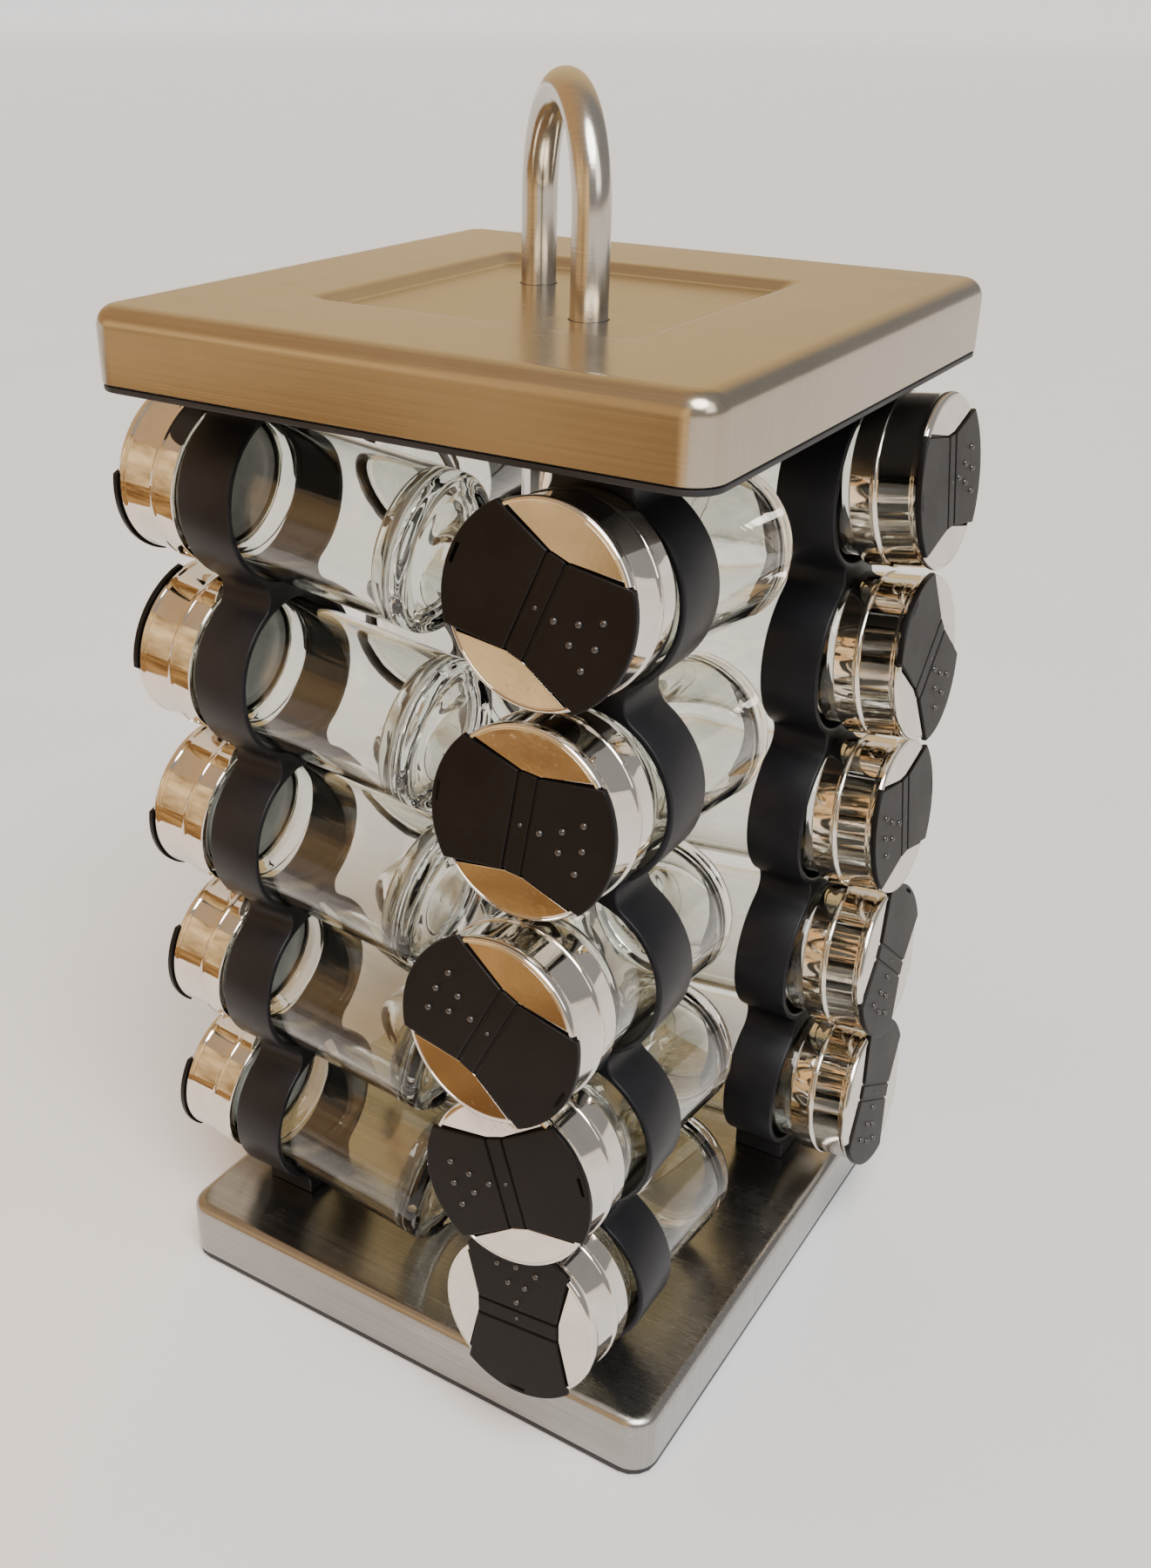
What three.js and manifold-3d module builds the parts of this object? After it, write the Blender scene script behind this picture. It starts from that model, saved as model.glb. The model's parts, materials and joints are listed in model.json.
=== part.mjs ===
// Revolving spice carousel: a square tower with four staggered columns of jars on a turntable foot.
// Millimetres, +Z up. The origin is the centre of the rubber pad's underside.
import * as THREE from 'three';
import * as BufferGeometryUtils from 'three/addons/utils/BufferGeometryUtils.js';
import Module from 'manifold-3d';

const wasm = await Module();
wasm.setup();

// ---------------------------------------------------------------- driving dimensions
const GAP = 0.3;               // clearance between fixed neighbours

const ROWS = 5;                // jars in one column
const ROW_GAP = 1.9;           // between the flaps of one jar and those of the next
const TILT_DEG = 6.5;          // loose jars sit with their caps a little high
const JAR_FLOOR_GAP = 1.3;     // lowest jar to the base
const CAP_HEADROOM = 3.2;      // highest cap to the top, where it slides out under the edge
const JAR_END_GAP = 1.03;      // inner end of a jar to the tower's middle plane

const RING_DEPTH = 17.1;       // length of a rack ring along the jar
const RING_WALL = 1.6;         // thinnest part of a ring
const RING_ROOM = 0.15;        // play between a tilted jar and its ring
const RING_SETBACK = 15.4;     // edge of the covers to the front of the rings
const RING_MARGIN = 10.9;      // edge of the covers to the side of the rings
const WAIST_INSET = 1.85;      // how far the rack's waist lies inside half the ring's radius
const TENON_WIDE = 12;         // tongues that hold the racks in the covers
const TENON_DEEP = 8;

const JAR_LENGTH = 91.3;       // whole jar with its cap
const GLASS_R = 21;            // outer radius of the glass
const GLASS_WALL = 1.8;
const GLASS_BASE = 4.5;        // thickness of the jar's bottom
const HEEL = 3.2;              // height of the chamfer round the jar's bottom
const SHOULDER = 1.9;          // back of the cap to the jar's shoulder
const NECK_STEP = 0.9;         // glass to neck, in radius
const NECK_WALL = 2;
const NECK_GAP = 0.5;          // neck to cap
const CAP_WALL = 3;            // cap, from its inside to its rim and back band
const CAP_LENGTH = 19.3;
const CAP_TOP = 2.4;           // thickness of the cap's face
const BAND = 6.5;              // length of the cap's raised back band
const BAND_STEP = 0.4;         // how far the band stands out
const CAP_EASE = 1.2;          // chamfer round the cap's face
const FLAP_THICK = 1.5;        // flap plate
const FLAP_PROUD = 0.6;        // how far the flaps stand above the cap's face
const FLAP_OVERHANG = 0.7;     // how far a flap reaches past the cap's rim
const HINGE_STRIP = 5;         // strip between the two flap hinges
const WAIST = 24.8;            // length of the hinge lines across the cap
const FLAP_CHORD = 31.4;       // width of a flap where it meets the rim
const SIFTER_R = 1.1;          // sifter holes
// Sifter holes: [distance from the hinge line, distance to one side].
const SIFTER_HOLES = [[2.7, 0], [8.2, 2.6], [8.2, -2.6], [13.1, 6], [13.1, -6], [13.9, 0]];
const POUR_RIM = 4.6;          // pour opening to the glass's outer radius
const POUR_DEG = 50.7;         // half angle of its round edge
const POUR_STEP = 2.4;         // its straight edge, inside the ends of the round one
const POUR_INSET = 3;          // its straight edge, inside the hinge line, at each end

const TOP_H = 18.8;            // height of the top cover
const BASE_H = 18.6;           // height of the base cover
const BASE_LIFT = 2.6;         // table to the base cover's lower edge
const CORNER_R = 8;            // plan corner radius of both covers
const TOP_EDGE_R = 5.2;        // rolled edge of the top cover
const BASE_EDGE_R = 3;         // rolled edge of the base cover
const SHEET = 1.2;             // sheet steel thickness
const PLATE_STRIP = 1.5;       // edge of the plastic plates that shows below each cover
const PLATE_INSET = 0.2;       // that edge to the cover's side
const PLATE_BODY = 2.2;        // part of each plastic plate that fills its cover

const HANDLE_SPAN = 53;        // between the handle's legs, along the diagonal
const HANDLE_RISE = 52;        // top cover to the top of the handle
const HANDLE_ROD = 9.5;        // handle rod diameter
const CLAMP_H = 4;             // bar under the top that holds the handle
const CLAMP_RIM = 3.25;        // that bar's material beside each leg
const LEG_END = 4.2;           // how far the legs reach below the bar
const RECESS_HALF = 46;        // half side of the pressed recess in the top
const RECESS_DEPTH = 2.7;
const RECESS_SLOPE = 3;        // width of the recess's sloping wall

const POST_R = 10;             // centre post
const POST_WALL = 1.4;
const POST_CLEAR = 1.4;        // post to the handle's bar
const POST_THREAD = 2;         // post above its nut
const NUT_RIM = 5;             // nut's corners beyond the post
const FOOT_R = 60;             // turntable disc that stays still
const FOOT_SHEET = 2;
const FOOT_CLEAR = 2;          // disc to the wall round it
const BOSS_WALL = 3;           // that wall
const BOSS_ROOF = 2.3;         // roof over the bearing
const PAD_INSET = 2;           // rubber pad inside the disc's edge
const PAD_THICK = 1.3;
const PIVOT_R = 5;             // raised boss of the disc, which the base turns on
const SCREW_R = 2;
const SCREW_HEAD_R = 7;
const SCREW_HEAD = 2;
const BALL_R = 2;              // bearing balls
const BALL_CIRCLE = 40;
const BALLS = 8;
const CAGE_SIDE = 5;           // ball circle to each edge of the cage
const CAGE_THICK = 1.4;

const JAR_SIDES = 16;          // facets round a jar and a cap

// ---------------------------------------------------------------- derived dimensions
const tilt = THREE.MathUtils.degToRad(TILT_DEG);
const neckR = GLASS_R - NECK_STEP;
const capR = neckR + NECK_GAP + CAP_WALL;
const flapR = capR + FLAP_OVERHANG;
const pitch = 2 * flapR + ROW_GAP;
// A tilted jar needs this much room in its ring; the facets of the hole take a little more.
const jarRoom = GLASS_R / Math.cos(tilt) + (RING_DEPTH / 2) * Math.tan(tilt);
const ringHole = (jarRoom + RING_ROOM) / Math.cos(Math.PI / JAR_SIDES);
const ringOuter = ringHole + RING_WALL;
// Along a jar's axis, measured from the middle of its ring.
const capBack = (RING_DEPTH / 2 + capR * Math.sin(tilt) + GAP) / Math.cos(tilt);
const capFace = capBack + CAP_LENGTH;
const glassEnd = capFace - JAR_LENGTH;
const flapTop = capFace + FLAP_PROUD;
// Plan: the jars set the side of the tower.
const ringCentre = JAR_END_GAP - glassEnd * Math.cos(tilt);
const half = ringCentre + RING_DEPTH / 2 + RING_SETBACK;
const columnOffset = half - RING_MARGIN - ringOuter;
const plateHalf = half - SHEET - GAP;
const plateCorner = CORNER_R - SHEET - GAP;
// Heights: the jars set the height of the tower.
const baseTop = BASE_LIFT + BASE_H;
const basePlateLow = BASE_LIFT - GAP - PLATE_STRIP;
const lowestRing = baseTop + JAR_FLOOR_GAP + GLASS_R * Math.cos(tilt) - glassEnd * Math.sin(tilt);
const highestRing = lowestRing + (ROWS - 1) * pitch;
const capReach = flapR / Math.cos(tilt) + (half - ringCentre) * Math.tan(tilt);
const topPlateLow = highestRing + capReach + CAP_HEADROOM;
const topEdge = topPlateLow + PLATE_STRIP + GAP;
const towerTop = topEdge + TOP_H;
const columnLow = baseTop + GAP;
const columnHigh = topPlateLow - GAP;
const recessFloor = towerTop - RECESS_DEPTH;
const clampHigh = recessFloor - SHEET - GAP;
const clampLow = clampHigh - CLAMP_H;
const legOffset = HANDLE_SPAN / 2 / Math.SQRT2;
const postHigh = clampLow - POST_CLEAR;
// The turntable, from the table up.
const footLow = PAD_THICK + GAP;
const footHigh = footLow + FOOT_SHEET;
const ballMiddle = footHigh + GAP + BALL_R;
const bearingCeiling = ballMiddle + BALL_R + GAP;
const bossTop = bearingCeiling + BOSS_ROOF;
const pivotHigh = bossTop + 0.7;
const screwHeadLow = pivotHigh + GAP;

// Each column, top jar first: how far each jar is pulled out, and which way its sifter flap points,
// in degrees anticlockwise from the right for someone who faces that column.
const COLUMNS = [
  { name: 'front', pulls: [0, 5, 18.5, 10, 4], turns: [-21, -6, 155, 202, 95] },
  { name: 'right', pulls: [0, 1, 0, 2, 3], turns: [0, -55, 180, -130, -120] },
  { name: 'back', pulls: [1, 0, 2, 0, 1], turns: [40, 130, -75, 10, 160] },
  { name: 'left', pulls: [0, 0, 1, 0, 1], turns: [-35, 35, -35, -10, 170] },
];
// These jars have their two flaps as pieces of their own.
const OPENING_JARS = ['front_1', 'front_2'];

// ---------------------------------------------------------------- materials
const steel = { color: 0xb9b2a6, roughness: 0.32, metalness: 1 };
const chrome = { color: 0xd8d6d2, roughness: 0.1, metalness: 1 };
const blackPlastic = { color: 0x17171a, roughness: 0.5, metalness: 0 };
const flapPlastic = { color: 0x231d1b, roughness: 0.6, metalness: 0 };
const rubber = { color: 0x1c1c1c, roughness: 0.9, metalness: 0 };
const zinc = { color: 0xa9abad, roughness: 0.4, metalness: 1 };
const glass = { color: 0xe4eae6, roughness: 0.05, metalness: 0, transparent: true, opacity: 0.35 };

// ---------------------------------------------------------------- solids
function solidOf(geometry) {
  const bare = geometry.index ? geometry.toNonIndexed() : geometry.clone();
  bare.deleteAttribute('normal');
  bare.deleteAttribute('uv');
  const merged = BufferGeometryUtils.mergeVertices(bare, 1e-4);
  const corners = [];
  const index = merged.index.array;
  for (let i = 0; i < index.length; i += 3) {
    const [a, b, c] = [index[i], index[i + 1], index[i + 2]];
    if (a !== b && b !== c && c !== a) {
      corners.push(a, b, c);
    }
  }
  return new wasm.Manifold(new wasm.Mesh({
    numProp: 3,
    vertProperties: Float32Array.from(merged.attributes.position.array),
    triVerts: Uint32Array.from(corners),
  }));
}

function geometryOf(solid) {
  const mesh = solid.getMesh();
  const geometry = new THREE.BufferGeometry();
  geometry.setAttribute('position', new THREE.BufferAttribute(new Float32Array(mesh.vertProperties), 3));
  geometry.setIndex(new THREE.BufferAttribute(new Uint32Array(mesh.triVerts), 1));
  const flat = geometry.toNonIndexed();
  flat.computeVertexNormals();
  return flat;
}

function joined(geometries) {
  return geometries.map(solidOf).reduce((sum, solid) => sum.add(solid));
}

function cut(body, tools) {
  return tools.map(solidOf).reduce((left, tool) => left.subtract(tool), body);
}

function piece(name, geometry, look) {
  const mesh = new THREE.Mesh(geometry, new THREE.MeshStandardMaterial(look));
  mesh.name = name;
  return mesh;
}

// A box given by its two corners.
function block(low, high) {
  const size = high.map((value, i) => value - low[i]);
  const geometry = new THREE.BoxGeometry(...size);
  return geometry.translate(...low.map((value, i) => value + size[i] / 2));
}

// An upright cylinder between two heights.
function drum(radius, low, high, sides = 24, x = 0, y = 0) {
  const geometry = new THREE.CylinderGeometry(radius, radius, high - low, sides);
  geometry.rotateX(Math.PI / 2);
  return geometry.translate(x, y, (low + high) / 2);
}

// A profile of [radius, height] pairs turned about Z.
function turned(profile, sides = JAR_SIDES) {
  const points = profile.map(([radius, height]) => new THREE.Vector2(radius, height));
  const geometry = new THREE.LatheGeometry(points, sides);
  return geometry.rotateX(Math.PI / 2);
}

// A rounded square, centred on the origin.
function roundedSquare(halfSide, radius) {
  const shape = new THREE.Shape();
  const inner = halfSide - radius;
  shape.moveTo(halfSide, -inner);
  shape.lineTo(halfSide, inner);
  shape.absarc(inner, inner, radius, 0, Math.PI / 2);
  shape.lineTo(-inner, halfSide);
  shape.absarc(-inner, inner, radius, Math.PI / 2, Math.PI);
  shape.lineTo(-halfSide, -inner);
  shape.absarc(-inner, -inner, radius, Math.PI, Math.PI * 1.5);
  shape.lineTo(inner, -halfSide);
  shape.absarc(inner, -inner, radius, Math.PI * 1.5, Math.PI * 2);
  return shape;
}

function squareSlab(halfSide, radius, low, high) {
  const options = { depth: high - low, bevelEnabled: false, curveSegments: 2 };
  const geometry = new THREE.ExtrudeGeometry(roundedSquare(halfSide, radius), options);
  return geometry.translate(0, 0, low);
}

// A rounded square block whose upper edge is rolled over; its lower edge is square.
function rolledBlock(halfSide, radius, edge, low, high) {
  const inset = roundedSquare(halfSide - edge, Math.max(radius - edge, 0.6));
  const geometry = new THREE.ExtrudeGeometry(inset, {
    depth: high - low,
    bevelEnabled: true,
    bevelSize: edge,
    bevelThickness: edge,
    bevelSegments: 3,
    curveSegments: 2,
  });
  geometry.translate(0, 0, low - edge);
  const reach = halfSide + 5;
  return solidOf(geometry).intersect(solidOf(block([-reach, -reach, low], [reach, reach, high + 1])));
}

// ---------------------------------------------------------------- covers and plates
// A pressed cover: a rolled block, hollow from below.
function pressedCover(low, high, edge) {
  const outside = rolledBlock(half, CORNER_R, edge, low, high);
  const inside = rolledBlock(half - SHEET, CORNER_R - SHEET, edge - SHEET, low - 1, high - SHEET);
  return { outside, inside };
}

// The sloping-sided recess as a plug; grow makes the matching plug under the sheet.
function recessPlug(grow) {
  const floor = recessFloor - grow;
  const wide = RECESS_HALF + grow * 0.6;
  const narrow = wide - RECESS_SLOPE;
  const rise = RECESS_DEPTH;
  const geometry = new THREE.ExtrudeGeometry(roundedSquare(narrow, 3), {
    depth: 4,
    bevelEnabled: true,
    bevelSize: RECESS_SLOPE,
    bevelThickness: rise,
    bevelSegments: 1,
    curveSegments: 2,
  });
  geometry.translate(0, 0, floor + rise);
  return geometry;
}

function handleLegs() {
  return [[-legOffset, legOffset], [legOffset, -legOffset]];
}

function topCover() {
  const { outside, inside } = pressedCover(topEdge, towerTop, TOP_EDGE_R);
  const hollow = inside.subtract(solidOf(recessPlug(SHEET)));
  const shell = outside.subtract(hollow).subtract(solidOf(recessPlug(0)));
  const holes = handleLegs().map(([x, y]) => drum(HANDLE_ROD / 2 + GAP, clampHigh, towerTop, 12, x, y));
  return piece('top_cover', geometryOf(cut(shell, holes)), steel);
}

// Boxes for the four rack tongues, grown by a clearance.
function tenonBoxes(low, high, grow) {
  const wide = TENON_WIDE / 2 + grow;
  const deep = TENON_DEEP / 2 + grow;
  return [0, 1, 2, 3].map((quarter) => {
    const box = block(
      [columnOffset - wide, -ringCentre - deep, low],
      [columnOffset + wide, -ringCentre + deep, high],
    );
    return box.rotateZ(quarter * Math.PI / 2);
  });
}

// A plastic plate: the strip that shows round its edge, and the body inside the cover.
function plateSolid(low, cover) {
  const strip = squareSlab(half - PLATE_INSET, CORNER_R, low, low + PLATE_STRIP);
  const body = squareSlab(plateHalf, plateCorner, low + 0.5, cover + PLATE_BODY);
  return [strip, body];
}

function topPlate() {
  const high = topEdge + PLATE_BODY + 1;
  const tools = tenonBoxes(topPlateLow - 1, high, GAP);
  tools.push(drum(POST_R + GAP, topPlateLow - 1, high, 20));
  return piece('top_plate', geometryOf(cut(joined(plateSolid(topPlateLow, topEdge)), tools)), blackPlastic);
}

function baseCover() {
  const { outside, inside } = pressedCover(BASE_LIFT, baseTop, BASE_EDGE_R);
  const through = baseTop - 2 * SHEET;
  const tools = tenonBoxes(through, baseTop + 1, GAP);
  tools.push(drum(POST_R + GAP, through, baseTop + 1, 20));
  return piece('base_cover', geometryOf(cut(outside.subtract(inside), tools)), steel);
}

function basePlate() {
  const boss = drum(FOOT_R + FOOT_CLEAR + BOSS_WALL, basePlateLow + 0.5, bossTop, 32);
  const tools = [
    drum(FOOT_R + FOOT_CLEAR, basePlateLow - 1, bearingCeiling, 32),
    drum(PIVOT_R + GAP, basePlateLow, bossTop + 1, 16),
  ];
  const solid = joined([...plateSolid(basePlateLow, BASE_LIFT), boss]);
  return piece('base_plate', geometryOf(cut(solid, tools)), blackPlastic);
}

// ---------------------------------------------------------------- turntable and post
function footDisc() {
  const disc = joined([drum(FOOT_R, footLow, footHigh, 32), drum(PIVOT_R, footLow + 0.5, pivotHigh, 16)]);
  const hole = drum(SCREW_R + GAP, footHigh + 1, pivotHigh + 1, 12);
  return piece('foot_disc', geometryOf(cut(disc, [hole])), zinc);
}

function rubberPad() {
  return piece('rubber_pad', drum(FOOT_R - PAD_INSET, 0, PAD_THICK, 32), rubber);
}

function pivotScrew() {
  const head = drum(SCREW_HEAD_R, screwHeadLow, screwHeadLow + SCREW_HEAD, 16);
  const shank = drum(SCREW_R, footHigh + 1.5, screwHeadLow + 0.5, 10);
  return piece('pivot_screw', geometryOf(joined([head, shank])), zinc);
}

function ballCage() {
  const low = ballMiddle - CAGE_THICK / 2;
  const high = ballMiddle + CAGE_THICK / 2;
  const inner = BALL_CIRCLE - CAGE_SIDE;
  const outer = BALL_CIRCLE + CAGE_SIDE;
  let cage = solidOf(turned([[inner, low], [outer, low], [outer, high], [inner, high], [inner, low]], 16));
  for (let i = 0; i < BALLS; i += 1) {
    const angle = (i / BALLS) * Math.PI * 2;
    const ball = new THREE.SphereGeometry(BALL_R, 6, 4).rotateX(Math.PI / 2);
    ball.translate(BALL_CIRCLE * Math.cos(angle), BALL_CIRCLE * Math.sin(angle), ballMiddle);
    cage = cage.add(solidOf(ball));
  }
  return piece('ball_cage', geometryOf(cage), zinc);
}

function centrePost() {
  const low = bossTop + GAP;
  const inner = POST_R - POST_WALL;
  const wall = [[inner, low], [POST_R, low], [POST_R, postHigh], [inner, postHigh], [inner, low]];
  return piece('centre_post', turned(wall, 20), chrome);
}

function postNut() {
  const low = topEdge + PLATE_BODY + GAP;
  const high = postHigh - POST_THREAD;
  const nut = cut(solidOf(drum(POST_R + NUT_RIM, low, high, 6)), [drum(POST_R + GAP, low - 1, high + 1, 16)]);
  return piece('post_nut', geometryOf(nut), zinc);
}

// ---------------------------------------------------------------- handle
// A half circle on two straight legs, in the upright plane through two corners.
class HandlePath extends THREE.Curve {
  constructor(low) {
    super();
    this.low = low;
    this.radius = HANDLE_SPAN / 2;
    this.spring = towerTop + HANDLE_RISE - HANDLE_ROD / 2 - this.radius;
    this.leg = this.spring - low;
    this.length = 2 * this.leg + Math.PI * this.radius;
  }

  getPoint(t, target = new THREE.Vector3()) {
    const run = t * this.length;
    let along = -this.radius;
    let height = this.low + run;
    if (run > this.length - this.leg) {
      along = this.radius;
      height = this.low + (this.length - run);
    } else if (run > this.leg) {
      const angle = Math.PI - (run - this.leg) / this.radius;
      along = this.radius * Math.cos(angle);
      height = this.spring + this.radius * Math.sin(angle);
    }
    return target.set(along / Math.SQRT2, -along / Math.SQRT2, height);
  }
}

function handle() {
  const section = new THREE.Shape();
  section.absarc(0, 0, HANDLE_ROD / 2, 0, Math.PI * 2);
  const geometry = new THREE.ExtrudeGeometry(section, {
    steps: 18,
    curveSegments: 5,
    bevelEnabled: false,
    extrudePath: new HandlePath(clampLow - LEG_END),
  });
  return piece('handle', geometry, steel);
}

// The bar under the recess that both handle legs are fixed to.
function handleClamp() {
  const wide = HANDLE_ROD / 2 + CLAMP_RIM;
  const long = HANDLE_SPAN / 2 + HANDLE_ROD / 2 + CLAMP_RIM + 1;
  const bar = block([-long, -wide, clampLow], [long, wide, clampHigh]).rotateZ(-Math.PI / 4);
  const holes = handleLegs().map(([x, y]) => (
    drum(HANDLE_ROD / 2 + GAP, clampLow - 1, clampHigh + 1, 16, x, y)
  ));
  return piece('handle_clamp', geometryOf(cut(solidOf(bar), holes)), zinc);
}

// ---------------------------------------------------------------- racks
// Height of a ring's middle, counted from the bottom row.
function ringHeight(row) {
  return lowestRing + row * pitch;
}

// One side of a rack's wavy outline: [distance from the column's axis, height], bottom to top.
function waveSide() {
  const valley = ringOuter / 2 - WAIST_INSET;
  const points = [];
  for (let row = 0; row < ROWS; row += 1) {
    const middle = ringHeight(row);
    points.push([valley, middle - pitch / 2 + 0.6], [valley + 0.5, middle - ringOuter + 1.4]);
    for (let step = -2; step <= 2; step += 1) {
      const angle = step * Math.PI / 6;
      points.push([ringOuter * Math.cos(angle), middle + ringOuter * Math.sin(angle)]);
    }
    points.push([valley + 0.5, middle + ringOuter - 1.4], [valley, middle + pitch / 2 - 0.6]);
  }
  return points;
}

function rack(column) {
  const side = waveSide();
  const foot = side[0][0];
  const right = [[foot, columnLow], ...side, [foot, columnHigh]];
  const left = right.map(([x, z]) => [-x, z]).reverse();
  const shape = new THREE.Shape([...right, ...left].map(([x, z]) => new THREE.Vector2(x, z)));
  for (let row = 0; row < ROWS; row += 1) {
    const hole = new THREE.Path();
    hole.absarc(0, ringHeight(row), ringHole, 0, Math.PI * 2);
    shape.holes.push(hole);
  }
  const options = { depth: RING_DEPTH, bevelEnabled: false, curveSegments: JAR_SIDES / 2 };
  const body = new THREE.ExtrudeGeometry(shape, options);
  body.rotateX(Math.PI / 2);
  body.translate(columnOffset, -ringCentre + RING_DEPTH / 2, 0);
  const lower = tenonBoxes(baseTop - 2 * SHEET, columnLow + 1.5, 0)[0];
  const upper = tenonBoxes(columnHigh - 1.5, topEdge + PLATE_BODY - 0.5, 0)[0];
  const geometry = geometryOf(joined([body, lower, upper]));
  geometry.rotateZ(column * Math.PI / 2);
  return piece(`rack_${COLUMNS[column].name}`, geometry, blackPlastic);
}

// ---------------------------------------------------------------- jars and caps
function jarGlass(name) {
  const shoulder = capBack - SHOULDER;
  const mouth = capFace - CAP_TOP - NECK_GAP;
  const inside = GLASS_R - GLASS_WALL;
  const bore = neckR - NECK_WALL;
  const profile = [
    [0, glassEnd],
    [GLASS_R - 2.6, glassEnd],
    [GLASS_R, glassEnd + HEEL],
    [GLASS_R, shoulder],
    [neckR, shoulder + 1.2],
    [neckR, mouth],
    [bore, mouth],
    [bore, shoulder],
    [inside, shoulder - 2.5],
    [inside, glassEnd + GLASS_BASE],
    [0, glassEnd + GLASS_BASE],
  ];
  return piece(name, turned(profile), glass);
}

// The cap's plain body: an open cup with a raised back band and an eased front edge.
function capBody() {
  const inside = neckR + NECK_GAP;
  const skirt = capR - BAND_STEP;
  return turned([
    [0, capFace - CAP_TOP],
    [inside, capFace - CAP_TOP],
    [inside, capBack],
    [capR, capBack],
    [capR, capBack + BAND],
    [skirt, capBack + BAND + 0.5],
    [skirt, capFace - CAP_EASE],
    [capR - CAP_EASE, capFace],
    [0, capFace],
  ]);
}

// Half of the waisted insert, from x = start to the rim, as an outline grown by a clearance.
function flapOutline(start, rimR, grow) {
  const waist = WAIST / 2 + grow;
  const reach = Math.asin((FLAP_CHORD / 2 + grow) / rimR);
  const flare = HINGE_STRIP / 2;
  const corners = start < flare ? [[start, -waist], [flare, -waist]] : [[start, -waist]];
  return roundEnded(corners, rimR, reach);
}

// An outline that ends in an arc about the origin; corners are its lower ones, mirrored for the upper.
function roundEnded(corners, radius, reach) {
  const points = corners.map(([x, y]) => new THREE.Vector2(x, y));
  for (let step = -2; step <= 2; step += 1) {
    const angle = reach * step / 2;
    points.push(new THREE.Vector2(radius * Math.cos(angle), radius * Math.sin(angle)));
  }
  const upper = corners.map(([x, y]) => new THREE.Vector2(x, -y)).reverse();
  return new THREE.Shape([...points, ...upper]);
}

function slabOf(shape, low, high) {
  return new THREE.ExtrudeGeometry(shape, { depth: high - low, bevelEnabled: false }).translate(0, 0, low);
}

function flapSlab(start, rimR, grow, low, high) {
  return slabOf(flapOutline(start, rimR, grow), low, high);
}

// The opening under the pour flap.
function pourOpening(low, high) {
  const radius = GLASS_R - POUR_RIM;
  const reach = THREE.MathUtils.degToRad(POUR_DEG);
  const edge = [[radius * Math.cos(reach) - POUR_STEP, POUR_INSET - WAIST / 2]];
  return slabOf(roundEnded(edge, radius, reach), low, high).rotateZ(Math.PI);
}

// The whole waisted plate, both flaps and the strip between their hinges.
function insertPlate(rimR, grow, low, high) {
  const front = flapSlab(-0.01, rimR, grow, low, high);
  const back = front.clone().rotateZ(Math.PI);
  return joined([front, back]);
}

function closedCap(name, turn) {
  const plate = insertPlate(flapR, 0, flapTop - FLAP_THICK, flapTop);
  const turnedPlate = plate.rotate([0, 0, turn]);
  return piece(name, geometryOf(solidOf(capBody()).add(turnedPlate)), chrome);
}

// A cap whose flaps are pieces of their own: a bed for them, the strip, and the holes beneath.
function openingCap(name, turn) {
  const floor = flapTop - FLAP_THICK - GAP;
  const bed = insertPlate(flapR + GAP, GAP, floor, flapTop + 1);
  const strip = block(
    [-HINGE_STRIP / 2, -WAIST / 2, floor - 0.5],
    [HINGE_STRIP / 2, WAIST / 2, flapTop],
  );
  const under = capFace - CAP_TOP - 1;
  const holes = SIFTER_HOLES.map(([x, y]) => drum(SIFTER_R, under, flapTop, 8, HINGE_STRIP / 2 + x, y));
  const pour = pourOpening(under, flapTop);
  const opened = bed.add(solidOf(pour));
  const drilled = holes.map(solidOf).reduce((sum, hole) => sum.add(hole), opened);
  const turnedTools = drilled.rotate([0, 0, turn]);
  const turnedStrip = solidOf(strip).rotate([0, 0, turn]);
  return piece(name, geometryOf(solidOf(capBody()).subtract(turnedTools).add(turnedStrip)), chrome);
}

function flap(name, turn) {
  const slab = flapSlab(HINGE_STRIP / 2 + GAP, flapR, 0, flapTop - FLAP_THICK, flapTop);
  return piece(name, slab.rotateZ(THREE.MathUtils.degToRad(turn)), flapPlastic);
}

function jar(column, row) {
  const { name, pulls, turns } = COLUMNS[column];
  const label = `${name}_${row + 1}`;
  const turn = turns[row];
  const group = new THREE.Group();
  group.add(jarGlass(`jar_${label}`));
  if (OPENING_JARS.includes(label)) {
    group.add(openingCap(`cap_${label}`, turn));
    group.add(flap(`sifter_flap_${label}`, turn));
    group.add(flap(`pour_flap_${label}`, turn + 180));
  } else {
    group.add(closedCap(`cap_${label}`, turn));
  }
  const seat = new THREE.Group();
  seat.rotation.x = Math.PI / 2 - tilt;
  seat.position.set(columnOffset, -ringCentre, ringHeight(ROWS - 1 - row));
  group.position.z = pulls[row];
  seat.add(group);
  return seat;
}

// ---------------------------------------------------------------- the whole tower
const carousel = new THREE.Group();
carousel.add(rubberPad(), footDisc(), pivotScrew(), ballCage());
carousel.add(basePlate(), baseCover(), centrePost(), postNut());
carousel.add(topPlate(), topCover(), handle(), handleClamp());
for (let column = 0; column < COLUMNS.length; column += 1) {
  carousel.add(rack(column));
  const jars = new THREE.Group();
  jars.rotation.z = column * Math.PI / 2;
  for (let row = 0; row < ROWS; row += 1) {
    jars.add(jar(column, row));
  }
  carousel.add(jars);
}

export default carousel;
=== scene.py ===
import json
import math

import bmesh
import bpy
from mathutils import Matrix, Vector


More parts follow.
